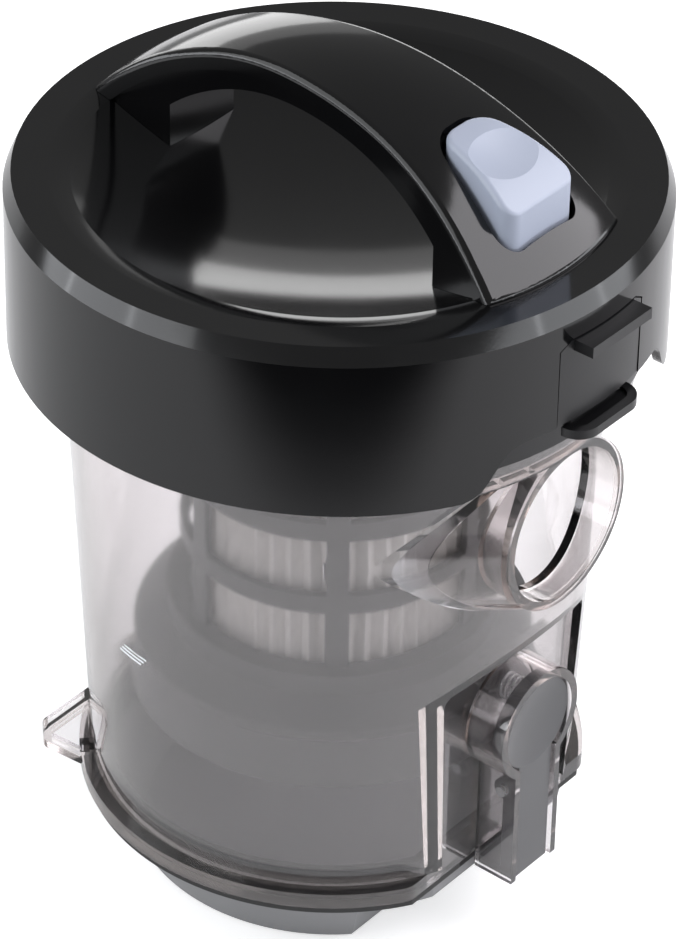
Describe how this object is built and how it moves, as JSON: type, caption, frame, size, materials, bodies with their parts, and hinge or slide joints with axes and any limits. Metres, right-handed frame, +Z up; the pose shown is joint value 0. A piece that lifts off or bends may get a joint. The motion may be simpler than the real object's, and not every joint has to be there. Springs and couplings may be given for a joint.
{
  "type": "cyclone dust bin",
  "caption": "Clear cyclone dust bin with a lift-out pleated filter cage, a black lid with carry handle and release button, a side inlet elbow and a latched bottom flap.",
  "frame": {"origin": "on the bin's axis, on the plane that the closed bottom flap rests on", "axes": "+Z up along the bin's axis, -Y towards the inlet port and both latches, +X to the right when the port is seen from the front"},
  "size_m": [0.1656, 0.1701, 0.2363],
  "materials": {
    "smoked_clear": "clear gloss",
    "gloss_black": "high gloss",
    "black_satin": "satin",
    "button_grey": "satin",
    "cage_grey": "satin",
    "skirt_grey": "satin",
    "flap_grey": "satin",
    "lever_grey": "satin",
    "filter_paper": "matt",
    "black_rubber": "matt",
    "steel": "zinc plated"
  },
  "bodies": {
    "bin": {"bin_shell": "smoked_clear", "inlet_elbow": "smoked_clear", "bin_top_seal": "black_rubber", "lever_pin": "steel", "lever_spring": "steel", "hinge_pin": "steel"},
    "filter": {"filter_ring": "black_satin", "filter_cage": "cage_grey", "filter_pleats": "filter_paper", "filter_end_cap": "cage_grey", "filter_top_cap": "cage_grey", "separator_skirt": "skirt_grey", "skirt_screws": "steel"},
    "lid": {"lid_shell": "gloss_black", "lid_duct": "black_satin", "lid_seal": "black_rubber", "latch_guide": "black_satin", "guide_screws": "steel", "handle_top": "gloss_black", "handle_bottom": "gloss_black", "handle_screws": "steel", "button_spring": "steel", "hook_spring": "steel"},
    "button": {"release_button": "button_grey"},
    "hook": {"hook_latch": "black_satin"},
    "flap": {"bottom_flap": "flap_grey", "flap_gasket": "black_rubber"},
    "lever": {"release_lever": "lever_grey"}
  },
  "joints": [
    {"name": "filter_lift", "type": "slide", "parent": "bin", "child": "filter", "axis": [0, 0, 1], "range_m": [0, 0.14]},
    {"name": "lid_lift", "type": "slide", "parent": "filter", "child": "lid", "axis": [0, 0, 1], "range_m": [0, 0.06]},
    {"name": "button_press", "type": "slide", "parent": "lid", "child": "button", "axis": [0, 0, -1], "range_m": [0, 0.004], "stiffness_N_per_m": 600, "springref_m": -0.004, "deforming": ["button_spring"]},
    {"name": "hook_slide", "type": "slide", "parent": "lid", "child": "hook", "axis": [0, 1, 0], "range_m": [0, 0.004], "stiffness_N_per_m": 300, "springref_m": -0.004, "deforming": ["hook_spring"]},
    {"name": "flap_hinge", "type": "hinge", "parent": "bin", "child": "flap", "pos_m": [0, 0.072, 0.0215], "axis": [1, 0, 0], "range_deg": [0, 100]},
    {"name": "lever_rock", "type": "hinge", "parent": "bin", "child": "lever", "pos_m": [0, -0.0642, 0.046], "axis": [-1, 0, 0], "range_deg": [0, 9], "stiffness_Nm_per_rad": 0.3, "springref_deg": -8.59, "deforming": ["lever_spring"]}
  ],
  "couplings": [
    {"joint": "hook_slide", "follows": "button_press", "ratio": 1}
  ]
}
